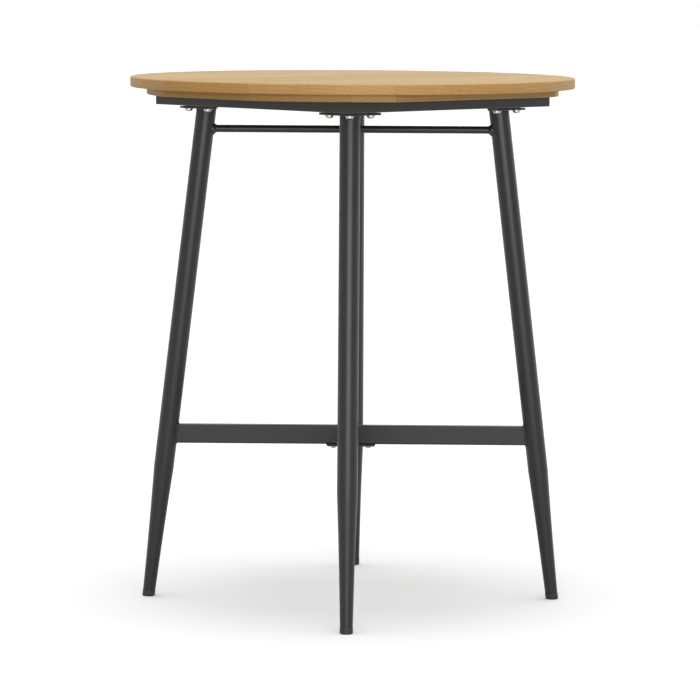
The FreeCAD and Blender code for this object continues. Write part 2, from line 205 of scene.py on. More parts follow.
class BarTableSizes(bpy.types.PropertyGroup):
    """Sizes that the frame leaves open."""
    rim_round: length("Rim rounding", "Radius of the upper edge round the top", 3.0)
    rim_ease: length("Rim easing", "Radius of the lower edge round the top", 1.5)
    joint_ease: length("Joint easing", "Chamfer along the joints between boards", 0.5)
    joint_gap: length("Joint gap", "Half of the open line between two boards", 0.12)
    cleat_ease: length("Cleat easing", "Radius of the edges of the cleats", 1.8)
    leg_foot: length("Foot radius", "Radius of a leg tube at its drawn-down end", 12.5)
    leg_taper: length("Taper height", "Where the leg tube reaches its full diameter", 265.0)
    leg_hollow: length("Taper hollow", "How far the drawn-down part curves inwards", 0.7)
    cap_height: length("Cap height", "How far a foot cap shows below its leg tube", 13.5)
    cap_round: length("Cap rounding", "Radius of the lower edge of a foot cap", 3.0)
    rail_drop: length("Rail drop", "How much deeper a ring rail is drawn than its solid", 2.0)
    plate_corner: length("Plate corner", "Corner radius of a leg plate", 6.0)
    plate_ease: length("Plate easing", "Radius of the edges of plates and strips", 0.8)
    cleat_strip: length("Cleat strip", "Width of the strips that a cleat is glued up from", 52.0)
    strip_bevel: length("Strip bevel", "How far the ends of the joining strip slope in", 3.0)
    strip_corner: length("Strip corner", "Corner radius of the joining strip", 2.0)
    rod_weld: length("Rod weld", "How far the weld stands out round a tie rod", 5.0)
    rod_weld_length: length("Rod weld length", "How far the weld reaches along a tie rod", 6.5)
    weld_bead: length("Weld bead", "Radius of a weld bead", 2.8)
    weld_pitch: length("Weld pitch", "Distance between two ripples of a weld bead", 4.5)
    plate_bead: length("Plate bead", "Radius of the weld bead between a leg and its plate", 1.8)
    leg_head: length("Leg bolt head", "Height of the domed head of a leg bolt", 5.4)
    leg_shank: length("Leg bolt shank", "Radius of the shank of a leg bolt", 4.0)
    leg_socket: length("Leg bolt socket", "Width of the hexagon socket of a leg bolt", 5.0)
    strip_head: length("Strip bolt head", "Height of the domed head of a strip bolt", 3.4)
    strip_shank: length("Strip bolt shank", "Radius of the shank of a strip bolt", 3.0)
    strip_socket: length("Strip bolt socket", "Width of the hexagon socket of a strip bolt", 4.0)
    washer_edge: length("Washer edge", "Radius of the pressed edge of a washer", 0.4)
    screw_head: length("Screw head", "Height of the sunk head of a wood screw", 2.4)
    screw_shank: length("Screw shank", "Radius of the shank of a wood screw", 2.0)
    screw_slot: length("Screw slot", "Width of each slot of the cross in a screw head", 1.1)


class BarTableColours(bpy.types.PropertyGroup):
    """Colours of the finishes."""
    board_light: colour("Board light", "Pale early wood of the boards", "#bd924e")
    board_dark: colour("Board dark", "Darker late wood of the boards", "#a97e41")
    board_pore: colour("Board pores", "Open pores of the boards", "#7d572e")
    coat: colour("Powder coat", "Charcoal coat of the steel", "#1c1d1a")
    zinc: colour("Zinc", "Plated bolts and washers", "#a8a7a1")
    plastic: colour("Foot plastic", "Moulded foot caps", "#1a1a19")
    floor: colour("Floor", "Studio floor as it is seen", "#fbfbfb")
    floor_bounce: colour("Floor bounce", "Studio floor as it lights the table from below", "#989898")


def sizes():
    """The sizes of the table in this scene."""
    return bpy.context.scene.bar_table_sizes


def colours():
    """The colours of the table in this scene."""
    return bpy.context.scene.bar_table_colours


def rgba(values):
    """A colour property with full opacity."""
    return (*values, 1.0)


def feed(tree, node, inputs):
    """Sets the inputs of a node, or links them. A list links several shapes to one input."""
    for name, value in inputs.items():
        for given in value if isinstance(value, list) else [value]:
            if isinstance(given, bpy.types.NodeSocket):
                tree.links.new(given, node.inputs[name])
            else:
                node.inputs[name].default_value = given


def add(tree, kind, inputs=None, **settings):
    """Adds a node with its settings and inputs, and gives its outputs."""
    node = tree.nodes.new(kind)
    for name, value in settings.items():
        setattr(node, name, value)
    feed(tree, node, inputs or {})
    return node.outputs


def seen_ray(tree):
    """One for the rays that show the white studio: to the eye, in gloss and through clear things."""
    path = add(tree, "ShaderNodeLightPath")
    seen = path["Is Camera Ray"]
    for kind in ("Is Glossy Ray", "Is Transmission Ray"):
        seen = add(tree, "ShaderNodeMath", {0: seen, 1: path[kind]}, operation="MAXIMUM")[0]
    return seen


# Materials

def new_material(name):
    """A material with a Principled surface, and its node tree."""
    material = bpy.data.materials.get(name)
    if material:
        return material, None, None
    material = bpy.data.materials.new(name)
    material.use_nodes = True
    tree = material.node_tree
    return material, tree, tree.nodes["Principled BSDF"]


def oiled_wood(name, grain_turn, strip_width, tones):
    """Oiled hardwood, planed smooth: faint rings and pores along the grain, each board its own tone, and a
    painted sheen on the upper face.
    """
    material, tree, surface = new_material(name)
    if tree is None:
        return material
    tints = colours()
    place = add(tree, "ShaderNodeTexCoord")["Object"]
    along = add(tree, "ShaderNodeMapping", {"Vector": place, "Rotation": (0, 0, -grain_turn)})[0]
    apart = add(tree, "ShaderNodeSeparateXYZ", {0: along})
    # The number of a strip gives its tone, and its place in the log that it was cut from
    number = apart["Y"]
    for step, value in (("ADD", TOP_RADIUS), ("DIVIDE", strip_width), ("FLOOR", 0.0), ("ADD", BOARD_SEED)):
        number = add(tree, "ShaderNodeMath", {0: number, 1: value}, operation=step)[0]
    chance = add(tree, "ShaderNodeTexWhiteNoise", {"W": number}, noise_dimensions="1D")
    log = add(tree, "ShaderNodeVectorMath", {0: chance["Color"], 1: LOG_REACH}, operation="MULTIPLY")[0]
    inside = add(tree, "ShaderNodeVectorMath", {0: along, 1: log}, operation="ADD")[0]
    # Rings, fibres and pores, drawn out along the grain
    drawn = add(tree, "ShaderNodeMapping", {"Vector": inside, "Scale": (RING_STRETCH, 1, 1)})[0]
    rings = add(tree, "ShaderNodeTexWave", {"Vector": drawn, "Scale": WAVE_LENGTH / RING_SPACING,
                                            "Distortion": 4.0, "Detail": 2.0, "Detail Scale": 0.6},
                wave_type="RINGS", rings_direction="X", wave_profile="SIN")["Fac"]
    noise = {}
    for pattern, (long, wide, detail) in WOOD_PATTERNS.items():
        finer = (1 / long, 1 / wide, 1 / wide)
        spot = add(tree, "ShaderNodeMapping", {"Vector": inside, "Scale": finer})[0]
        noise[pattern] = add(tree, "ShaderNodeTexNoise",
                             {"Vector": spot, "Scale": 1.0, "Detail": detail})[0]
    pores = add(tree, "ShaderNodeMapRange",
                {"Value": noise["pore"], "From Min": 0.58, "From Max": 0.74})[0]
    figure = add(tree, "ShaderNodeMix", {0: FIBRE_SHARE, 2: rings, 3: noise["fibre"]},
                 data_type="FLOAT")[0]
    shade = add(tree, "ShaderNodeMapRange", {"Value": figure, "From Min": 0.25, "From Max": 0.75})[0]
    body = add(tree, "ShaderNodeMix",
               {0: shade, 6: rgba(tints.board_dark), 7: rgba(tints.board_light)}, data_type="RGBA")[2]
    depth = add(tree, "ShaderNodeMath", {0: pores, 1: PORE_SHARE}, operation="MULTIPLY")[0]
    pored = add(tree, "ShaderNodeMix", {0: depth, 6: body, 7: rgba(tints.board_pore)},
                data_type="RGBA")[2]
    # Each strip is a little paler or darker, and warmer or cooler, and clouded along its length; the lower
    # range of the cleats is painted shade under the top
    tone, warmth = [add(tree, "ShaderNodeMapRange",
                        {"Value": chance["Value"], "To Min": first, "To Max": last})[0]
                    for first, last in (tones, WARMTHS)]
    cloud = add(tree, "ShaderNodeMapRange", {"Value": noise["cloud"], "From Min": 0.3, "From Max": 0.7,
                                             "To Min": 0.95, "To Max": 1.05})[0]
    # Painted sheen: the upper face is drawn a little yellower and paler than the rim, as if it caught more
    # light
    sheen_face = {"Value": apart["Z"], "From Min": CAD_BOX[1].z - SHEEN_FACE_DEPTH, "From Max": CAD_BOX[1].z}
    hue, sheen_dulling, sheen_paling = [add(tree, "ShaderNodeMapRange", {**sheen_face, "To Min": rim, "To Max": face})[0]
                           for rim, face in (SHEEN_HUE_SHIFT, SHEEN_SATURATION, SHEEN_BRIGHTNESS)]
    shading = tone
    for change in (cloud, sheen_paling):
        shading = add(tree, "ShaderNodeMath", {0: shading, 1: change}, operation="MULTIPLY")[0]
    strength = add(tree, "ShaderNodeMath", {0: warmth, 1: sheen_dulling}, operation="MULTIPLY")[0]
    toned = add(tree, "ShaderNodeHueSaturation",
                {"Hue": hue, "Saturation": strength, "Value": shading, "Color": pored})[0]
    gloss = add(tree, "ShaderNodeMapRange", {"Value": noise["fibre"], "To Min": 0.46, "To Max": 0.6})[0]
    relief = add(tree, "ShaderNodeMath", {0: noise["fibre"], 1: pores}, operation="SUBTRACT")[0]
    bump = add(tree, "ShaderNodeBump", {"Strength": 0.25, "Distance": 0.2 * MM, "Height": relief})[0]
    feed(tree, surface, {"Base Color": toned, "Roughness": gloss, "Normal": bump})
    return material


def powder_coat():
    """Satin powder coat baked on steel: an even charcoal with a faint orange-peel skin."""
    material, tree, surface = new_material("satin_powder_coat")
    if tree is None:
        return material
    place = add(tree, "ShaderNodeTexCoord")["Object"]
    peel = add(tree, "ShaderNodeTexNoise", {"Vector": place, "Scale": 1 / PEEL_CELL, "Detail": 2.0})[0]
    cloud = add(tree, "ShaderNodeTexNoise", {"Vector": place, "Scale": 1 / CLOUD_CELL, "Detail": 3.0})[0]
    tone = add(tree, "ShaderNodeMapRange", {"Value": cloud, "To Min": 0.9, "To Max": 1.1})[0]
    toned = add(tree, "ShaderNodeHueSaturation", {"Value": tone, "Color": rgba(colours().coat)})[0]
    gloss = add(tree, "ShaderNodeMapRange", {"Value": peel, "To Min": 0.3, "To Max": 0.38})[0]
    bump = add(tree, "ShaderNodeBump", {"Strength": 0.12, "Distance": 0.1 * MM, "Height": peel})[0]
    feed(tree, surface, {"Base Color": toned, "Roughness": gloss, "Normal": bump, "Specular IOR Level": 0.38})
    return material


def zinc_plate():
    """Bright zinc on pressed steel: a pale metal whose gloss is broken by fine spangle."""
    material, tree, surface = new_material("zinc_plated_steel")
    if tree is None:
        return material
    place = add(tree, "ShaderNodeTexCoord")["Object"]
    cells = add(tree, "ShaderNodeTexNoise", {"Vector": place, "Scale": 1 / SPANGLE_CELL, "Detail": 3.0})[0]
    tone = add(tree, "ShaderNodeMapRange", {"Value": cells, "To Min": 0.85, "To Max": 1.08})[0]
    toned = add(tree, "ShaderNodeHueSaturation", {"Value": tone, "Color": rgba(colours().zinc)})[0]
    gloss = add(tree, "ShaderNodeMapRange", {"Value": cells, "To Min": 0.22, "To Max": 0.38})[0]
    feed(tree, surface, {"Base Color": toned, "Roughness": gloss, "Metallic": 1.0})
    return material


def moulded_plastic():
    """Black polyethylene from a sparked mould: matt, with a fine grain."""
    material, tree, surface = new_material("moulded_foot_plastic")
    if tree is None:
        return material
    place = add(tree, "ShaderNodeTexCoord")["Object"]
    cells = add(tree, "ShaderNodeTexNoise", {"Vector": place, "Scale": 1 / PLASTIC_CELL, "Detail": 2.0})[0]
    tone = add(tree, "ShaderNodeMapRange", {"Value": cells, "To Min": 0.9, "To Max": 1.15})[0]
    toned = add(tree, "ShaderNodeHueSaturation", {"Value": tone, "Color": rgba(colours().plastic)})[0]
    bump = add(tree, "ShaderNodeBump", {"Strength": 0.3, "Distance": 0.1 * MM, "Height": cells})[0]
    feed(tree, surface, {"Base Color": toned, "Roughness": 0.55, "Normal": bump})
    return material


# Meshes

def mesh_of(bm, name):
    """A finished mesh with outward faces, smooth where it is round."""
    bmesh.ops.remove_doubles(bm, verts=bm.verts, dist=LOFT_REACH)
    bmesh.ops.recalc_face_normals(bm, faces=bm.faces)
    mesh = bpy.data.meshes.new(name)
    bm.to_mesh(mesh)
    bm.free()
    mesh.shade_smooth()
    mesh.set_sharp_from_angle(angle=SHARP_ANGLE)
    return mesh


def lofted(name, rings):
    """A mesh of one closed skin through rings of equally many points, with flat ends."""
    bm = bmesh.new()
    made = [[bm.verts.new(point) for point in ring] for ring in rings]
    for low, high in zip(made, made[1:]):
        for step in range(len(low)):
            bm.faces.new((low[step - 1], low[step], high[step], high[step - 1]))
    bm.faces.new(made[0])
    bm.faces.new(made[-1])
    return mesh_of(bm, name)


def piece(name, mesh, material, slot, *nodes):
    """Puts a finished mesh on the table in place of the CAD nodes that it stands for."""
    made = bpy.data.objects.new(name, mesh)
    bpy.context.scene.collection.objects.link(made)
    mesh.materials.clear()
    mesh.materials.append(material)
    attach(made, "root")
    if nodes:
        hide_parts(*nodes)
    return made


def dress(material, *starts):
    """Gives a material to the CAD nodes that stay, by the start of their names."""
    for name, node in frame["nodes"].items():
        if name.startswith(starts):
            node.data.materials.clear()
            node.data.materials.append(material)


def rounded_levels(low, high, low_round, high_round):
    """Heights and insets of an upright wall whose lower and upper edges are quarter rounds."""
    turns = [QUARTER * step / EDGE_STEPS for step in range(EDGE_STEPS + 1)]
    lower = [(low + low_round * (1 - math.cos(turn)), low_round * (1 - math.sin(turn))) for turn in turns]
    upper = [(high - high_round * (1 - math.sin(turn)), high_round * (1 - math.cos(turn))) for turn in turns]
    return lower + upper


def strip_outline(radius, low, high, level, reach=None):
    """A straight strip from low to high across Y, trimmed to a circle, and to a reach along X if given."""
    start = math.asin(max(low / radius, -1))
    end = math.asin(min(high / radius, 1))
    turns = [start + (end - start) * step / ARC_STEPS for step in range(ARC_STEPS + 1)]
    points = [(radius * math.cos(turn), radius * math.sin(turn)) for turn in turns]
    if reach is not None:
        points = [(min(x, reach), y) for x, y in points]
    outline = points + [(-x, y) for x, y in reversed(points)]
    return [Vector((x, y, level)) for x, y in outline]


def rounded_polygon(corners, corner, inset, level):
    """A polygon, counterclockwise about its middle, with round corners and set in by a distance."""
    outline = []
    for place, here in enumerate(corners):
        before = Vector(here) - Vector(corners[place - 1])
        after = Vector(corners[(place + 1) % len(corners)]) - Vector(here)
        first = Vector((before.y, -before.x)).normalized()
        last = Vector((after.y, -after.x)).normalized()
        middle = Vector(here) - (first + last) * corner / (1 + first.dot(last))
        for step in range(EDGE_STEPS + 1):
            angle = first.angle(last) * step / EDGE_STEPS
            point = middle + (corner - inset) * (Matrix.Rotation(angle, 2) @ first)
            outline.append(Vector((*point, level)))
    return outline


def box_of(points):
    """Lowest and highest corner of some points."""
    return [Vector([pick(point[axis] for point in points) for axis in range(3)]) for pick in (min, max)]


def along_grain(node):
    """Lowest and highest corner of a CAD node, measured along and across the grain."""
    back = GRAIN.inverted()
    return box_of([back @ vertex.co for vertex in frame["nodes"][node].data.vertices])


def solid_boxes(node):
    """The box of each separate solid in a CAD node."""
    bm = bmesh.new()
    bm.from_mesh(frame["nodes"][node].data)
    bmesh.ops.remove_doubles(bm, verts=bm.verts, dist=SOLID_REACH)
    waiting = set(bm.verts)
    boxes = []
    while waiting:
        island = [waiting.pop()]
        for vertex in island:
            near = {edge.other_vert(vertex) for edge in vertex.link_edges} & waiting
            waiting -= near
            island.extend(near)
        boxes.append(box_of([vertex.co for vertex in island]))
    bm.free()
    return sorted(boxes, key=lambda box: tuple(round(value, PLACE_DIGITS) for value in box[0]))


class Leg:
    """The leaning axis of one leg, from the middle of its sole to the middle of its plate."""

    def __init__(self, side):
        mounts = {mount["name"]: mount["pos_m"] for mount in frame["record"]["mounts"]}
        ends = [vertex.co for vertex in frame["nodes"]["leg_" + side].data.vertices]
        level = max(end.z for end in ends)
        low, high = box_of([end for end in ends if level - end.z < MM])
        self.foot = Vector(mounts["foot_" + side])
        self.top = (low + high) / 2
        self.axis = (self.top - self.foot).normalized()
        self.outward = Vector((self.foot.x, self.foot.y, 0)).normalized()
        self.across = UP.cross(self.outward)
        self.out = self.across.cross(self.axis)
        low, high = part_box("leg_right")
        self.radius = (high.y - low.y) / 2

    def ring(self, distance, radius, level=None):
        """Points round the axis at a distance from the sole, or where they meet a level."""
        points = []
        for step in range(TUBE_SEGMENTS):
            turn = FULL_TURN * step / TUBE_SEGMENTS
            side = radius * (math.cos(turn) * self.out + math.sin(turn) * self.across)
            reach = distance if level is None else (level - self.foot.z - side.z) / self.axis.z
            points.append(self.foot + side + self.axis * reach)
        return points

    def at(self, level):
        """The point of the axis at a level."""
        return self.foot + self.axis * ((level - self.foot.z) / self.axis.z)


# Geometry Nodes

def new_tree(name, *labels):
    """A Geometry Nodes tree with a geometry input, a material, named sizes and a geometry output."""
    tree = bpy.data.node_groups.new(name, "GeometryNodeTree")
    kinds = {"Geometry": "Geometry", "Material": "Material", **dict.fromkeys(labels, "Float")}
    if "Seed" in labels:
        kinds["Seed"] = "Int"
    for label, kind in kinds.items():
        tree.interface.new_socket(label, in_out="INPUT", socket_type="NodeSocket" + kind)
    tree.interface.new_socket("Geometry", in_out="OUTPUT", socket_type="NodeSocketGeometry")
    return tree, add(tree, "NodeGroupInput")


def raised(tree, geometry, height):
    """A shape moved up by a height."""
    way = add(tree, "ShaderNodeCombineXYZ", {"Z": height})[0]
    return add(tree, "GeometryNodeTransform", {"Geometry": geometry, "Translation": way})[0]


def cut(tree, body, cutters):
    """A shape with others taken out of it, and its doubled points made one."""
    left = add(tree, "GeometryNodeMeshBoolean", {"Mesh 1": body, "Mesh 2": cutters},
               operation="DIFFERENCE", solver="EXACT")["Mesh"]
    return add(tree, "GeometryNodeMergeByDistance", {"Geometry": left, "Distance": MERGE_REACH})[0]


def set_out(tree, given, shape):
    """Ends a tree with a shape on every point, turned by chance."""
    turn = add(tree, "FunctionNodeRandomValue", {2: 0.0, 3: FULL_TURN, "Seed": given["Seed"]},
               data_type="FLOAT")[1]
    way = add(tree, "ShaderNodeCombineXYZ", {"Z": turn})[0]
    rotation = add(tree, "FunctionNodeEulerToRotation", {0: way})[0]
    finish(tree, given, add(tree, "GeometryNodeInstanceOnPoints", {
        "Points": given["Geometry"], "Instance": shape, "Rotation": rotation})[0])


def finish(tree, given, shape):
    """Ends a tree with real geometry in the given material."""
    real = add(tree, "GeometryNodeRealizeInstances", {"Geometry": shape})[0]
    dressed = add(tree, "GeometryNodeSetMaterial", {"Geometry": real, "Material": given["Material"]})[0]
    add(tree, "NodeGroupOutput", {0: dressed})


def bolt_tree():
    """Domed bolts that hang from points at their seats, with a hexagon socket and a shank above."""
    tree, given = new_tree("dome_bolts", "Head Radius", "Head Height", "Rim Height", "Shank Radius",
                           "Shank Length", "Socket Width", "Seed")
    ball = add(tree, "GeometryNodeMeshUVSphere",
               {"Segments": HEAD_SEGMENTS, "Rings": HEAD_RINGS, "Radius": 1.0})[0]
    apart = add(tree, "ShaderNodeSeparateXYZ", {0: add(tree, "GeometryNodeInputPosition")[0]})
    # The lower half becomes the dome under its rim, and the upper half lies flat on the seat
    rim = given["Rim Height"]
    dome = add(tree, "ShaderNodeMath", {0: given["Head Height"], 1: rim}, operation="SUBTRACT")[0]
    drop = add(tree, "ShaderNodeMath", {0: apart["Z"], 1: dome}, operation="MULTIPLY")[0]
    lower = add(tree, "ShaderNodeMath", {0: drop, 1: rim}, operation="SUBTRACT")[0]
    below = add(tree, "ShaderNodeMath", {0: apart["Z"], 1: EQUATOR}, operation="LESS_THAN")[0]
    factors = {"X": (apart["X"], given["Head Radius"]), "Y": (apart["Y"], given["Head Radius"]),
               "Z": (lower, below)}
    place = add(tree, "ShaderNodeCombineXYZ", {
        axis: add(tree, "ShaderNodeMath", {0: first, 1: second}, operation="MULTIPLY")[0]
        for axis, (first, second) in factors.items()})[0]
    head = add(tree, "GeometryNodeSetPosition", {"Geometry": ball, "Position": place})[0]
    # The width of a hexagon is its radius times the root of three
    key_radius = add(tree, "ShaderNodeMath", {0: given["Socket Width"], 1: math.sqrt(3)},
                     operation="DIVIDE")[0]
    key = add(tree, "GeometryNodeMeshCylinder", {
        "Vertices": HEXAGON, "Radius": key_radius, "Depth": given["Head Height"]})[0]
    sunk = add(tree, "ShaderNodeMath", {0: given["Head Height"], 1: -SOCKET_SHARE}, operation="MULTIPLY")[0]
    shank = add(tree, "GeometryNodeMeshCylinder", {
        "Vertices": SHANK_SEGMENTS, "Radius": given["Shank Radius"], "Depth": given["Shank Length"]})[0]
    lift = add(tree, "ShaderNodeMath", {0: given["Shank Length"], 1: 0.5}, operation="MULTIPLY")[0]
    shapes = [cut(tree, head, [raised(tree, key, sunk)]), raised(tree, shank, lift)]
    set_out(tree, given, add(tree, "GeometryNodeJoinGeometry", {0: shapes})[0])
    return tree


def washer_tree():
    """Pressed washers round points, with eased edges."""
    tree, given = new_tree("flat_washers", "Inner Radius", "Outer Radius", "Thickness", "Edge Radius", "Seed")
    inner = given["Inner Radius"]
    width = add(tree, "ShaderNodeMath", {0: given["Outer Radius"], 1: inner}, operation="SUBTRACT")[0]
    half = add(tree, "ShaderNodeMath", {0: width, 1: 0.5}, operation="MULTIPLY")[0]
    middle = add(tree, "ShaderNodeMath", {0: inner, 1: half}, operation="ADD")[0]
    path = add(tree, "GeometryNodeCurvePrimitiveCircle", {"Resolution": WASHER_SEGMENTS, "Radius": middle})[0]
    path = add(tree, "GeometryNodeSetCurveNormal", {"Curve": path}, mode="Z_UP")[0]
    section = add(tree, "GeometryNodeCurvePrimitiveQuadrilateral",
                  {"Width": width, "Height": given["Thickness"]})[0]
    section = add(tree, "GeometryNodeFilletCurve", {
        "Curve": section, "Count": WASHER_EDGE_STEPS, "Radius": given["Edge Radius"]}, mode="POLY")[0]
    set_out(tree, given, add(tree, "GeometryNodeCurveToMesh", {"Curve": path, "Profile Curve": section})[0])
    return tree


def screw_tree():
    """Sunk wood screws that point up from points at their heads, with a cross in the head."""
    tree, given = new_tree("cross_screws", "Head Radius", "Head Height", "Shank Radius", "Shank Length",
                           "Slot Width", "Seed")
    high, slot = given["Head Height"], given["Slot Width"]
    head = add(tree, "GeometryNodeMeshCone", {
        "Vertices": SCREW_SEGMENTS, "Radius Top": given["Shank Radius"],
        "Radius Bottom": given["Head Radius"], "Depth": high})[0]
    reach = add(tree, "ShaderNodeMath", {0: given["Head Radius"], 1: SLOT_REACH_SHARE},
                operation="MULTIPLY")[0]
    deep = add(tree, "ShaderNodeMath", {0: high, 1: SLOT_DEPTH_SHARE}, operation="MULTIPLY")[0]
    slots = []
    for long, wide in ((reach, slot), (slot, reach)):
        extent = add(tree, "ShaderNodeCombineXYZ", {"X": long, "Y": wide, "Z": deep})[0]
        slots.append(add(tree, "GeometryNodeMeshCube", {"Size": extent})[0])
    shank = add(tree, "GeometryNodeMeshCylinder", {
        "Vertices": SCREW_SHANK_SEGMENTS, "Radius": given["Shank Radius"], "Depth": given["Shank Length"]})[0]
    half = add(tree, "ShaderNodeMath", {0: given["Shank Length"], 1: 0.5}, operation="MULTIPLY")[0]
    lift = add(tree, "ShaderNodeMath", {0: high, 1: half}, operation="ADD")[0]
    shapes = [cut(tree, head, slots), raised(tree, shank, lift)]
    set_out(tree, given, add(tree, "GeometryNodeJoinGeometry", {0: shapes})[0])
    return tree


def bead_tree():
    """Weld beads along lines, rippled as the weld pool set."""
    tree, given = new_tree("weld_beads", "Bead Radius", "Pitch", "Ripple")
    pitch = given["Pitch"]
    line = add(tree, "GeometryNodeMeshToCurve", {"Mesh": given["Geometry"]})[0]
    fine = add(tree, "ShaderNodeMath", {0: pitch, 1: BEAD_STEPS}, operation="DIVIDE")[0]
    line = add(tree, "GeometryNodeResampleCurve", {"Curve": line, "Length": fine}, mode="LENGTH")[0]
    # The bead swells and shrinks once for every pitch along the line
    scale = add(tree, "GeometryNodeSplineParameter")["Length"]
    for step, value in (("DIVIDE", pitch), ("MULTIPLY", FULL_TURN), ("SINE", 0.0),
                        ("MULTIPLY", given["Ripple"]), ("ADD", 1.0)):
        scale = add(tree, "ShaderNodeMath", {0: scale, 1: value}, operation=step)[0]
    section = add(tree, "GeometryNodeCurvePrimitiveCircle",
                  {"Resolution": BEAD_SEGMENTS, "Radius": given["Bead Radius"]})[0]
    finish(tree, given, add(tree, "GeometryNodeCurveToMesh", {
        "Curve": line, "Profile Curve": section, "Scale": scale, "Fill Caps": True})[0])
    return tree


def grown(name, tree, points, values, edges=(), sharp=SHARP_ANGLE):
    """The plain mesh that a tree makes on points or along lines, with its inputs set."""
    start = bpy.data.meshes.new(name)
    start.from_pydata(points, edges, [])
    made = bpy.data.objects.new(name, start)
    bpy.context.scene.collection.objects.link(made)
    modifier = made.modifiers.new(name, "NODES")
    modifier.node_group = tree
    for item in tree.interface.items_tree:
        if item.in_out == "INPUT" and item.name in values:
            modifier[item.identifier] = values[item.name]
    graph = bpy.context.evaluated_depsgraph_get()
    mesh = bpy.data.meshes.new_from_object(made.evaluated_get(graph), depsgraph=graph)
    made.modifiers.remove(modifier)
    bpy.data.objects.remove(made)
    if not mesh.polygons:
        raise RuntimeError("Geometry Nodes made nothing for " + name)
    mesh.shade_smooth()
    mesh.set_sharp_from_angle(angle=sharp)
    return mesh


# Operators

class BARTABLE_OT_boards(bpy.types.Operator):
    """Makes the boards of the round top, with a rounded rim and eased joints"""
    bl_idname = "bartable.boards"
    bl_label = "Top boards"

    def execute(self, context):
        size = sizes()
        material = oiled_wood("oiled_hardwood_boards", GRAIN_TURN, BOARD_WIDTH, BOARD_TONES)
        for index, node in enumerate(BOARDS):
            name = node.replace("top_board", "oiled_board")
            low, high = along_grain(node)
            # The first and last board have a joint on one side only
            joint_low = index > 0
            joint_high = index < len(BOARDS) - 1
            rings = []
            for level, inset in rounded_levels(low.z, high.z, size.rim_ease, size.rim_round):
                edge = min(level - low.z, high.z - level)
                ease = size.joint_gap + max(0, size.joint_ease - edge)
                outline = strip_outline(TOP_RADIUS - inset, low.y + ease * joint_low,
                                        high.y - ease * joint_high, level)
                rings.append([GRAIN @ point for point in outline])
            piece(name, lofted(name, rings), material, "top_boards", node)
        return {"FINISHED"}


class BARTABLE_OT_cleats(bpy.types.Operator):
    """Makes the cleats under the boards: two across the grain and two between them"""
    bl_idname = "bartable.cleats"
    bl_label = "Cleats"

    def execute(self, context):
        size = sizes()
        names = [name for name in frame["nodes"] if "_cleat_" in name]
        corners = [vertex.co for name in names for vertex in frame["nodes"][name].data.vertices]
        radius = max(math.hypot(corner.x, corner.y) for corner in corners)
        for name in names:
            low, high = along_grain(name)
            lengthwise = name.startswith("main_")
            turn = GRAIN @ Matrix.Rotation(-QUARTER * lengthwise, 3, "Z")
            near, far = (low.x, high.x) if lengthwise else (low.y, high.y)
            reach = None if lengthwise else high.x
            rings = []
            for level, inset in rounded_levels(low.z, high.z, size.cleat_ease, size.joint_gap):
                outline = strip_outline(radius - inset, near + inset, far - inset, level,
                                        reach and reach - inset)
                rings.append([turn @ point for point in outline])
            kind = "main" if lengthwise else "cross"
            # The cleats take a lower range of tones, as painted shade under the top
            material = oiled_wood("oiled_hardwood_%s_cleats" % kind, GRAIN_TURN + QUARTER * lengthwise,
                                  size.cleat_strip, CLEAT_SHADE_TONES)
            piece("oiled_" + name, lofted(name, rings), material, "cleats", name)
        return {"FINISHED"}


class BARTABLE_OT_legs(bpy.types.Operator):
    """Makes the leaning leg tubes, drawn down towards the feet"""
    bl_idname = "bartable.legs"
    bl_label = "Legs"

    def execute(self, context):
        size = sizes()
        for side in SIDES:
            name = "leg_tube_" + side
            leg = Leg(side)
            lip = size.plate_ease
            low = size.cap_height + lip
            rings = [leg.ring(size.cap_height, size.leg_foot - 2 * lip),
                     leg.ring(size.cap_height, size.leg_foot - lip), leg.ring(low, size.leg_foot)]
            for step in range(1, TAPER_STEPS + 1):
                share = step / TAPER_STEPS
                # The hollow is deepest halfway up the taper
                hollow = 4 * size.leg_hollow * share * (1 - share)
                radius = size.leg_foot + (leg.radius - size.leg_foot) * share - hollow
                rings.append(leg.ring(low + (size.leg_taper - low) * share, radius))
            rings.append(leg.ring(0, leg.radius, leg.top.z))
            piece(name, lofted(name, rings), powder_coat(), "coated_steel", "leg_" + side)
        return {"FINISHED"}


class BARTABLE_OT_foot_caps(bpy.types.Operator):
    """Makes the push-in foot caps, cut level with the floor"""
    bl_idname = "bartable.foot_caps"
    bl_label = "Foot caps"

    def execute(self, context):
        size = sizes()
        for side in SIDES:
            name = "foot_" + side
            leg = Leg(side)
            low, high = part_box("foot_cap_right")
            radius = (high.y - low.y) / 2
            rings = [leg.ring(0, radius - size.cap_round, 0.0)]
            for step in range(1, EDGE_STEPS + 1):
                turn = QUARTER * step / EDGE_STEPS
                rings.append(leg.ring(0, radius - size.cap_round * (1 - math.sin(turn)),
                                      size.cap_round * (1 - math.cos(turn))))
            rings.append(leg.ring(size.cap_height - size.plate_ease, radius))
            rings.append(leg.ring(size.cap_height, radius - size.plate_ease))
            rings.append(leg.ring(size.cap_height, size.leg_foot - 2 * size.plate_ease))
            piece(name, lofted(name, rings), moulded_plastic(), "foot_plastic", "foot_cap_" + side)
        return {"FINISHED"}


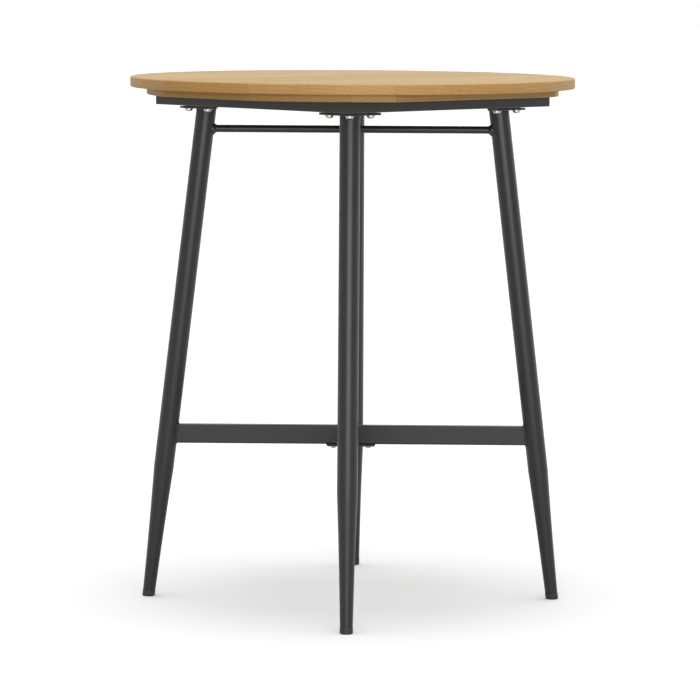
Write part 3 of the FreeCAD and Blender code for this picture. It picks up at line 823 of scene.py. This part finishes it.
class BARTABLE_OT_rods(bpy.types.Operator):
    """Makes the upper tie rods, with a rippled weld flare where each meets a leg"""
    bl_idname = "bartable.rods"
    bl_label = "Tie rods"

    def execute(self, context):
        size = sizes()
        for first, second in (("left", "right"), ("front", "rear")):
            name = "_rod_%s_%s" % (first, second)
            node = "upper" + name
            low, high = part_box(node)
            level = (low.z + high.z) / 2
            leg = Leg(first)
            span = Leg(second).at(level) - leg.at(level)
            direction = span.normalized()
            beside = UP.cross(direction)
            half = span.length / 2
            face = half - leg.radius / leg.axis.z
            flare_radius = (high.z - low.z) / 2
            radius = flare_radius - size.rod_weld
            # The flare grows towards the face of the leg, and the rod ends inside the tube
            shares = [step / FLARE_STEPS for step in range(FLARE_STEPS + 1)]
            profile = [(face - size.rod_weld_length * (1 - share), radius + size.rod_weld * share ** 2)
                       for share in shares]
            profile.append((half - leg.radius / 2, flare_radius))
            stations = [(-place, wide) for place, wide in reversed(profile)] + profile
            rings = []
            for place, wide in stations:
                ring = []
                for step in range(TUBE_SEGMENTS):
                    turn = FULL_TURN * step / TUBE_SEGMENTS
                    wave = (1 + math.cos(RIPPLES * turn)) / 2
                    ripple = 1 - RIPPLE_SHARE * wave * (wide - radius) / wide
                    side = wide * ripple * (math.cos(turn) * beside + math.sin(turn) * UP)
                    ring.append(level * UP + direction * place + side)
                rings.append(ring)
            piece("tie" + name, lofted(node, rings), powder_coat(), "coated_steel", node)
        return {"FINISHED"}


class BARTABLE_OT_plates(bpy.types.Operator):
    """Makes the leg plates and the joining strip, with eased edges"""
    bl_idname = "bartable.plates"
    bl_label = "Plates and strip"

    def execute(self, context):
        size = sizes()
        coat = powder_coat()
        for side in SIDES:
            node = "leg_plate_" + side
            leg = Leg(side)
            places = [vertex.co for vertex in frame["nodes"][node].data.vertices]
            reaches = [(place.dot(leg.outward), abs(place.dot(leg.across))) for place in places]
            # The plate points outwards at a right angle, and its two other corners are cut off
            point = max(out + beside for out, beside in reaches)
            back = min(out for out, beside in reaches)
            end = max(beside for out, beside in reaches)
            corners = [(point, 0), (point - end, end), (back, end), (back, -end), (point - end, -end)]
            corners = [(out * leg.outward + beside * leg.across).to_2d() for out, beside in corners]
            low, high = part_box(node)
            rings = [rounded_polygon(corners, size.plate_corner, inset, level)
                     for level, inset in rounded_levels(low.z, high.z, size.plate_ease, size.plate_ease)]
            piece("eased_" + node, lofted("eased_" + node, rings), coat, "coated_steel", node)
        node = "joining_strip"
        low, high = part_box(node)
        rings = []
        for level, inset in rounded_levels(low.z, high.z, size.plate_ease, size.plate_ease):
            half = high.x - size.strip_bevel * (high.z - level) / (high.z - low.z)
            corners = [(half, low.y), (half, high.y), (-half, high.y), (-half, low.y)]
            rings.append(rounded_polygon(corners, size.strip_corner, inset, level))
        piece("eased_" + node, lofted("eased_" + node, rings), coat, "coated_steel", node)
        return {"FINISHED"}


class BARTABLE_OT_bolts(bpy.types.Operator):
    """Makes the domed bolts of the legs and of the joining strip, with their washers"""
    bl_idname = "bartable.bolts"
    bl_label = "Bolts and washers"

    def execute(self, context):
        size = sizes()
        bolts = bolt_tree()
        washers = washer_tree()
        for group, head, shank, socket in (("leg", size.leg_head, size.leg_shank, size.leg_socket),
                                           ("strip", size.strip_head, size.strip_shank, size.strip_socket)):
            boxes = solid_boxes(group + "_bolts")
            low, high = boxes[0]
            seats = [Vector((*((start + end) / 2).xy, start.z + head)) for start, end in boxes]
            values = {"Head Radius": (high.x - low.x) / 2, "Head Height": head,
                      "Rim Height": head * RIM_SHARE, "Shank Radius": shank,
                      "Shank Length": high.z - low.z - head, "Socket Width": socket,
                      "Seed": CHANCE_SEED, "Material": zinc_plate()}
            name = "domed_bolts_" + group
            piece(name, grown(name, bolts, seats, values), zinc_plate(), "plated_steel", group + "_bolts")
            boxes = solid_boxes(group + "_washers")
            low, high = boxes[0]
            middles = [(start + end) / 2 for start, end in boxes]
            values = {"Inner Radius": shank * WASHER_HOLE_SHARE, "Outer Radius": (high.x - low.x) / 2,
                      "Thickness": high.z - low.z, "Edge Radius": size.washer_edge,
                      "Seed": CHANCE_SEED, "Material": zinc_plate()}
            name = "pressed_washers_" + group
            piece(name, grown(name, washers, middles, values), zinc_plate(), "plated_steel",
                  group + "_washers")
        return {"FINISHED"}


class BARTABLE_OT_screws(bpy.types.Operator):
    """Makes the wood screws that hold the cleats to the boards"""
    bl_idname = "bartable.screws"
    bl_label = "Wood screws"

    def execute(self, context):
        size = sizes()
        boxes = solid_boxes("cleat_screws")
        low, high = boxes[0]
        heads = [Vector((*((start + end) / 2).xy, start.z)) for start, end in boxes]
        values = {"Head Radius": (high.x - low.x) / 2, "Head Height": size.screw_head,
                  "Shank Radius": size.screw_shank, "Shank Length": high.z - low.z - size.screw_head,
                  "Slot Width": size.screw_slot, "Seed": CHANCE_SEED, "Material": zinc_plate()}
        mesh = grown("cross_head_screws", screw_tree(), heads, values)
        piece("cross_head_screws", mesh, zinc_plate(), "plated_steel", "cleat_screws")
        return {"FINISHED"}


class BARTABLE_OT_welds(bpy.types.Operator):
    """Lays weld beads where the legs meet their plates and the stretchers meet the legs"""
    bl_idname = "bartable.welds"
    bl_label = "Weld beads"

    def execute(self, context):
        size = sizes()
        beads = bead_tree()
        for side in SIDES:
            leg = Leg(side)
            stretcher = "stretcher_" + side if side in ("left", "right") else "stretcher_front_rear"
            low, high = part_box(stretcher)
            middle = (low.z + high.z) / 2
            half_high = (high.z - low.z) / 2
            half_wide = min((high - low).xy) / 2
            corners = [(half_wide, -half_high), (half_wide, half_high),
                       (-half_wide, half_high), (-half_wide, -half_high)]
            # The outline of the stretcher, laid on the round face of the leg
            around = []
            for point in rounded_polygon(corners, size.strip_corner, 0, 0):
                axis = leg.at(middle + point.y)
                depth = math.sqrt(leg.radius ** 2 - point.x ** 2) / leg.axis.z
                around.append(axis - leg.outward * depth + leg.across * point.x)
            top = leg.ring(0, leg.radius, leg.top.z)
            for name, line, radius in (("plate_weld_", top, size.plate_bead),
                                       ("stretcher_weld_", around, size.weld_bead)):
                edges = [(place, (place + 1) % len(line)) for place in range(len(line))]
                values = {"Bead Radius": radius, "Pitch": size.weld_pitch, "Ripple": BEAD_RIPPLE,
                          "Material": powder_coat()}
                mesh = grown(name + side, beads, line, values, edges, NO_SHARP_EDGE)
                piece(name + side, mesh, powder_coat(), "coated_steel")
        return {"FINISHED"}


class BARTABLE_OT_ring(bpy.types.Operator):
    """Makes the mitred rails of the ring, a little deeper than their solids"""
    bl_idname = "bartable.ring"
    bl_label = "Ring"

    def execute(self, context):
        for node in [name for name in frame["nodes"] if name.startswith("ring_rail_")]:
            low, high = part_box(node)
            bm = bmesh.new()
            bm.from_mesh(frame["nodes"][node].data)
            for vertex in bm.verts:
                if vertex.co.z < (low.z + high.z) / 2:
                    vertex.co.z -= sizes().rail_drop
            name = node.replace("ring_rail", "coated_rail")
            piece(name, mesh_of(bm, name), powder_coat(), "coated_steel", node)
        return {"FINISHED"}


class BARTABLE_OT_frame_finish(bpy.types.Operator):
    """Gives the corner plates, stretchers, nuts and screws that stay as they are their finish"""
    bl_idname = "bartable.frame_finish"
    bl_label = "Coated frame"

    def execute(self, context):
        dress(powder_coat(), "corner_plate_", "stretcher_", "weld_nuts")
        dress(zinc_plate(), "insert_nuts", "frame_screws")
        return {"FINISHED"}


class BARTABLE_OT_stage(bpy.types.Operator):
    """Sets up the floor, soft lights and camera"""
    bl_idname = "bartable.stage"
    bl_label = "Studio"

    def execute(self, context):
        scene = context.scene
        scene.view_settings.view_transform = "Standard"
        self.floor(scene)
        self.surroundings(scene)
        for name, settings in SOFTBOXES.items():
            self.softbox(scene, name, *settings)
        self.overhead(scene)
        self.camera(scene)
        return {"FINISHED"}

    def floor(self, scene):
        """A wide white floor that keeps the soft shadow of the table."""
        bm = bmesh.new()
        bmesh.ops.create_grid(bm, x_segments=1, y_segments=1, size=FLOOR_REACH)
        mesh = bpy.data.meshes.new("studio_floor")
        bm.to_mesh(mesh)
        bm.free()
        made = bpy.data.objects.new("studio_floor", mesh)
        scene.collection.objects.link(made)
        material, tree, surface = new_material("white_studio_floor")
        # Lifted to white for the eye, in gloss and through clear things, and a grey that throws less
        # light up under the table for all other rays
        tints = colours()
        seen = seen_ray(tree)
        shade = add(tree, "ShaderNodeMix", {0: seen, 6: rgba(tints.floor_bounce), 7: rgba(tints.floor)},
                    data_type="RGBA")[2]
        lift = add(tree, "ShaderNodeMath", {0: seen, 1: FLOOR_LIFT}, operation="MULTIPLY")[0]
        feed(tree, surface, {"Base Color": shade, "Emission Strength": lift, "Emission Color": WHITE,
                             "Roughness": 1.0, "Specular IOR Level": 0.0})
        # Clear from below, so that the underside of the table can be looked at
        below = add(tree, "ShaderNodeNewGeometry")["Backfacing"]
        clear = add(tree, "ShaderNodeBsdfTransparent")[0]
        either = add(tree, "ShaderNodeMixShader", {0: below, 1: surface.outputs[0], 2: clear})[0]
        feed(tree, tree.nodes["Material Output"], {"Surface": either})
        mesh.materials.append(material)

    def surroundings(self, scene):
        """An even white sky: full white to the eye and in reflections, a little less as light."""
        world = bpy.data.worlds.new("studio_surroundings")
        scene.world = world
        world.use_nodes = True
        tree = world.node_tree
        strength = add(tree, "ShaderNodeMapRange",
                       {"Value": seen_ray(tree), "To Min": SKY_LIGHT, "To Max": 1.0})[0]
        feed(tree, tree.nodes["Background"], {"Color": WHITE, "Strength": strength})

    def softbox(self, scene, name, place, target, width, height, power):
        """A wide soft light that looks from its place at a target."""
        data = bpy.data.lights.new(name, "AREA")
        data.shape = "RECTANGLE"
        data.size = width
        data.size_y = height
        data.energy = power
        made = bpy.data.objects.new(name, data)
        made.location = place
        made.rotation_euler = (Vector(target) - Vector(place)).to_track_quat("-Z", "Y").to_euler()
        scene.collection.objects.link(made)

    def overhead(self, scene):
        """A wide soft light from straight above, as even over the far floor as near the table."""
        data = bpy.data.lights.new("overhead_light", "SUN")
        data.energy = OVERHEAD_LIGHT
        data.angle = OVERHEAD_ANGLE
        scene.collection.objects.link(bpy.data.objects.new("overhead_light", data))

    def camera(self, scene):
        """The camera that took the photograph."""
        data = bpy.data.cameras.new("photograph_camera")
        data.sensor_width = SENSOR_WIDTH
        data.lens = CAMERA_LENS
        made = bpy.data.objects.new("photograph_camera", data)
        place = (Matrix.Rotation(CAMERA_AZIMUTH, 4, "Z")
                 @ Matrix.Translation((0, -CAMERA_DISTANCE, CAMERA_HEIGHT)))
        aim = (Matrix.Rotation(CAMERA_YAW, 4, "Z") @ Matrix.Rotation(QUARTER - CAMERA_TILT, 4, "X")
               @ Matrix.Rotation(CAMERA_ROLL, 4, "Z"))
        made.matrix_world = place @ aim
        scene.collection.objects.link(made)
        scene.camera = made


OPERATORS = (BARTABLE_OT_boards, BARTABLE_OT_cleats, BARTABLE_OT_legs, BARTABLE_OT_foot_caps,
             BARTABLE_OT_rods, BARTABLE_OT_plates, BARTABLE_OT_bolts, BARTABLE_OT_screws,
             BARTABLE_OT_welds, BARTABLE_OT_ring, BARTABLE_OT_frame_finish, BARTABLE_OT_stage)


class BARTABLE_PT_panel(bpy.types.Panel):
    """Lists the steps, sizes and colours of the table"""
    bl_idname = "BARTABLE_PT_panel"
    bl_label = "Outdoor bar table"
    bl_space_type = "VIEW_3D"
    bl_region_type = "UI"
    bl_category = "Bar table"

    def draw(self, context):
        for operator in OPERATORS:
            self.layout.operator(operator.bl_idname)
        for group in (sizes(), colours()):
            for name in group.bl_rna.properties.keys():
                if name not in ("rna_type", "name"):
                    self.layout.prop(group, name)


CLASSES = (BarTableSizes, BarTableColours, *OPERATORS, BARTABLE_PT_panel)


def register():
    """Makes the classes and the two groups of properties known to Blender."""
    for cls in CLASSES:
        bpy.utils.register_class(cls)
    bpy.types.Scene.bar_table_sizes = bpy.props.PointerProperty(type=BarTableSizes)
    bpy.types.Scene.bar_table_colours = bpy.props.PointerProperty(type=BarTableColours)


def unregister():
    """Takes back what register did."""
    del bpy.types.Scene.bar_table_colours
    del bpy.types.Scene.bar_table_sizes
    for cls in reversed(CLASSES):
        bpy.utils.unregister_class(cls)


def main():
    """Makes the table piece by piece."""
    register()
    for operator in OPERATORS:
        group, name = operator.bl_idname.split(".")
        getattr(getattr(bpy.ops, group), name)()


if __name__ == "__main__":
    main()
